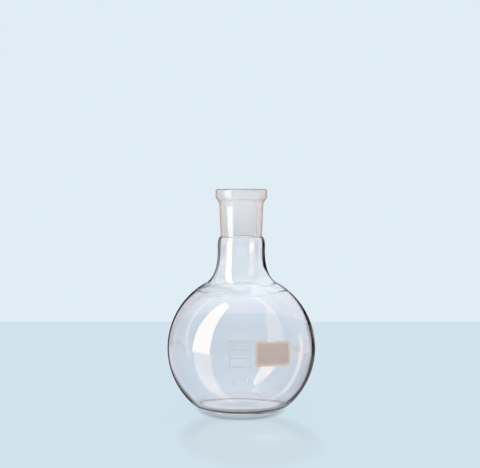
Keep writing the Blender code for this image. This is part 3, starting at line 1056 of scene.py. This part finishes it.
def glow_material(name, colour, strength, socket_colour):
    """Light for mirrored rays only: of colour, or of socket_colour for what the socket's outside mirrors."""
    nodes = new_material(name + "_glow")
    hit = nodes.add("NewGeometry").outputs
    way_back = nodes.scaled(hit["Incoming"], nodes.path("Ray Length"))
    height = nodes.parts(nodes.vector("ADD", hit["Position"], way_back))["Z"]
    above_weld = nodes.over(height, WELD_HEIGHT)
    below_bead = nodes.smooth(height, CONE_TOP_HEIGHT, RIM_UNDERSIDE_HEIGHT, 1.0, CARD_ON_BEAD)
    on_socket = nodes.times(nodes.times(above_weld, below_bead), nodes.not_met("Transmission Depth"))
    light = nodes.light(nodes.blend(on_socket, (*colour, 1), (*socket_colour, 1)), strength)
    return nodes.finish(nodes.mix(mirrored(nodes), nodes.surface("Transparent", WHITE), light))


def with_edges(nodes, azimuth, stops, colour, mist=BLACK, shade=0.0, bare=0.0):
    """colour, or what the glass's edges show: light mirrored outside the flask or inside one wall."""
    edges = coloured_by(nodes, azimuth, stops)
    edge_colour = nodes.blend(shade, edges["Color"], BLACK)
    one_wall = nodes.under(nodes.path("Transmission Depth"), ONE_WALL)
    far_left = nodes.under(azimuth, (LAST_LEFT_REFLECTION + 180) / 360)
    outside = nodes.times(nodes.not_met("Transmission Depth"), far_left)
    cover = nodes.times(one_wall, edges["Alpha"])
    for hidden in (outside, bare):
        cover = nodes.times(cover, nodes.math("SUBTRACT", 1.0, hidden))
    return nodes.blend(cover, colour, nodes.blend(1.0, edge_colour, mist, "ADD"))


def distance_in_ellipse(nodes, place, centre, radii):
    """1 on the edge of an ellipse on the floor, and less inside it."""
    shifted = nodes.vector("SUBTRACT", place, (*centre, 0))
    return nodes.length(nodes.vector("DIVIDE", shifted, (*radii, 1)))


def distance_in_bulb_shadow(nodes, across, along):
    """1 on the outline of the bulb's painted shadow, a leaning egg that is longer towards the flask."""
    lean = nodes.times(along, BULB_SHADOW_LEAN)
    shifted = nodes.math("SUBTRACT", nodes.math("ADD", across, lean), BULB_SHADOW_CENTRE[0])
    forward = nodes.math("SUBTRACT", along, BULB_SHADOW_CENTRE[1])
    behind = nodes.over(forward, 0.0)
    reach = nodes.ramp(behind, 0.0, 1.0, BULB_SHADOW_REACH_FORWARD, BULB_SHADOW_REACH_BACK)
    shares = {
        "X": nodes.math("DIVIDE", shifted, BULB_SHADOW_HALF_WIDTH),
        "Y": nodes.math("DIVIDE", forward, reach),
    }
    return nodes.length(nodes.filled("CombineXYZ", shares).outputs[0])


def painted_bulb_shadow(nodes, place):
    """Painted light and shade for the floor: the bulb's warm patch with darker rims near the base, a caustic
    and a contact shadow.
    """
    parts = nodes.parts(place)
    distance = distance_in_bulb_shadow(nodes, parts["X"], parts["Y"])
    tint = nodes.blend(nodes.falling(distance, *BULB_SHADOW_FADE), WHITE, BULB_SHADOW_TINT)
    near_base = nodes.smooth(parts["Y"], *SHADOW_RIM_ENDS, SHADOW_RIM_FAINTEST, 1.0)
    rim = nodes.falling(nodes.apart(distance, SHADOW_RIM_MIDDLE), 0.0, SHADOW_RIM_HALF_WIDTH)
    tint = nodes.tinted(tint, SHADOW_RIM_TINT, nodes.times(rim, near_base))
    contact = nodes.falling(nodes.length(place), *CONTACT_SHADOW_RADII)
    tint = nodes.tinted(tint, CONTACT_SHADOW_TINT, contact)
    patch = distance_in_ellipse(nodes, place, CAUSTIC_PATCH_CENTRE, CAUSTIC_PATCH_RADII)
    return nodes.tinted(tint, CAUSTIC_PATCH_TINT, nodes.falling(patch, 0.0, 1.0))


def floor_material():
    """Pale paper that the lamp and the room light, with the bulb's shadow painted into its colour. Mirrored
    light sees a table, lit in some stretches.
    """
    nodes = new_material("pale_floor")
    place = nodes.place()
    # painted shadow, caustic and contact shadow of the flask, in the paper's colour
    colour = nodes.tinted(linear(FLOOR_COLOUR), painted_bulb_shadow(nodes, place))
    evenly_lit = (1 - FLOOR_SHADED * (AMBIENT + LAMP_LIGHT)) / (1 - FLOOR_SHADED)
    paper = nodes.mix(FLOOR_SHADED, nodes.light(colour, evenly_lit), nodes.surface("Diffuse", colour))

    turn = nodes.add("VectorTransform", vector_type="VECTOR", convert_from="WORLD", convert_to="OBJECT")
    nodes.link(nodes.add("NewGeometry").outputs["Incoming"], turn.inputs[0])
    azimuth = azimuth_of(nodes, nodes.scaled(turn.outputs[0], -1.0))
    near = coloured_by(nodes, azimuth, NEAR_TABLE)["Color"]
    far = coloured_by(nodes, azimuth, FAR_TABLE)["Color"]
    distance = nodes.length(place)
    plain = nodes.times(nodes.not_met("Transmission Depth"), nodes.falling(distance, *PLAIN_TABLE_RADII))
    near = nodes.blend(plain, near, PLAIN_TABLE)
    around = nodes.blend(nodes.rising(distance, *FAR_TABLE_RADII), near, far)
    mist = nodes.blend(nodes.falling(distance, *NEAR_EDGE_RADII), BLACK, NEAR_EDGE_MIST)
    bare = nodes.falling(distance, *BARE_ROUND_BASE)
    low_edges = with_edges(nodes, azimuth, EDGE_BELOW, around, mist, bare=bare)
    high_edges = with_edges(nodes, azimuth, EDGE_ABOVE, around)
    far_away = nodes.rising(distance, *FAR_EDGE_RADII)
    table = nodes.light(nodes.blend(far_away, low_edges, high_edges))
    off_paper = nodes.rising(distance, *PAPER_UNDER_FLASK)
    return nodes.finish(nodes.mix(nodes.times(mirrored(nodes), off_paper), paper, table))


def back_lamp(studio):
    """A broad lamp behind and above, which throws the flask's soft shadow towards the camera."""
    data = bpy.data.lights.new("back_lamp", "SUN")
    data.angle = math.radians(LAMP_WIDTH)
    data.energy = LAMP_LIGHT * math.pi / math.sin(math.radians(LAMP_ELEVATION))
    obj = add_object("back_lamp", data)
    obj.rotation_euler = (-math.radians(90 - LAMP_ELEVATION), 0, -math.radians(LAMP_AZIMUTH))
    obj.parent = studio
    obj.visible_glossy = obj.visible_transmission = False


def build_world():
    """The backdrop for the camera and through the glass, the studio for mirrored light, and even white light
    for the floor and the prints."""
    world = bpy.data.worlds.new("studio_world")
    bpy.context.scene.world = world
    world.cycles.sampling_method = "NONE"
    nodes = Nodes(world)
    place = nodes.place(bpy.data.objects["studio"])
    rise = nodes.parts(place)["Z"]
    elevation = nodes.ramp(nodes.math("ARCSINE", rise), -math.pi / 2, math.pi / 2, 0.0, 1.0)
    before = coloured_by(nodes, elevation, BEFORE_BY_ELEVATION, -90, 90)["Color"]
    behind = coloured_by(nodes, elevation, BEHIND_BY_ELEVATION, -90, 90)["Color"]
    azimuth = azimuth_of(nodes, place)
    off_back = nodes.apart(azimuth, 0.5)
    around = nodes.blend(nodes.rising(off_back, *FRONT_HALF), behind, before)
    off_sides = nodes.apart(off_back, SIDES)
    beside = nodes.falling(off_sides, *SIDES_REACH)
    low = nodes.falling(rise, *BELOW_EYE_LEVEL)
    around = nodes.blend(nodes.times(beside, low), around, SIDES_COLOUR)

    on_right = nodes.over(azimuth, 0.5)
    shade = nodes.times(nodes.rising(rise, *LOWEST_DARK), on_right)
    ahead = nodes.falling(off_back, *BASE_OUTLOOK)
    from_base = nodes.times(ahead, nodes.rising(rise, *BASE_OUTLOOK_RISE))
    from_shoulder = nodes.times(nodes.rising(rise, *SHOULDER_OUTLOOK), on_right)
    bare = nodes.math("MAXIMUM", from_base, from_shoulder)
    studio = with_edges(nodes, azimuth, EDGE_ABOVE, around, shade=shade, bare=bare)
    seen = nodes.blend(mirrored(nodes), linear(BACKDROP_COLOUR), studio)

    light = nodes.ramp(nodes.met("Transmission Depth"), 0.0, 1.0, AMBIENT, AMBIENT_THROUGH_GLASS)
    background = nodes.filled("Background", {"Color": nodes.blend(nodes.met("Diffuse Depth"), seen, light)})
    nodes.finish(background.outputs[0], "OutputWorld")


def floor_piece(name, studio, near, far, material):
    half = FLOOR_SIZE / 2
    corners = ((-half, near), (half, near), (half, far), (-half, far))
    shape = bmesh.new()
    shape.faces.new([shape.verts.new((x, y, -FLOOR_DROP)) for x, y in corners])
    obj = object_from(name, shape, [material])
    obj.parent = studio
    return obj


def build_studio_root():
    """The camera, and the empty that carries the studio and turns about the flask to face the camera."""
    data = bpy.data.cameras.new("camera")
    data.lens = LENS
    data.sensor_width = 36
    camera = add_object("camera", data)
    camera.location = EYE
    camera.rotation_euler = (math.radians(90 - EYE_PITCH), 0, 0)
    bpy.context.scene.camera = camera

    studio = add_object("studio", None)
    follow = studio.constraints.new("LOCKED_TRACK")
    follow.target = camera
    follow.track_axis = "TRACK_NEGATIVE_Y"
    follow.lock_axis = "LOCK_Z"
    return studio


def build_studio(studio):
    paper = floor_material()
    floor_piece("floor", studio, -FLOOR_SIZE, FLOOR_FAR_EDGE, paper)
    beyond = floor_piece("floor_beyond", studio, FLOOR_FAR_EDGE, FLOOR_EDGE_THROUGH_GLASS, paper)
    beyond.visible_camera = False

    build_world()
    card("softbox_left", studio, *SOFTBOX_LEFT)
    card("strip_right", studio, *STRIP_RIGHT)
    back_lamp(studio)


def set_view():
    scene = bpy.context.scene
    scene.view_settings.view_transform = "Standard"
    scene.view_settings.look = "None"
    scene.cycles.max_bounces = 28
    scene.cycles.transmission_bounces = 20
    scene.cycles.glossy_bounces = 12
    scene.cycles.diffuse_bounces = 12
    scene.cycles.transparent_max_bounces = 24


studio_root = build_studio_root()
build_flask()
build_prints()
build_studio(studio_root)
set_view()
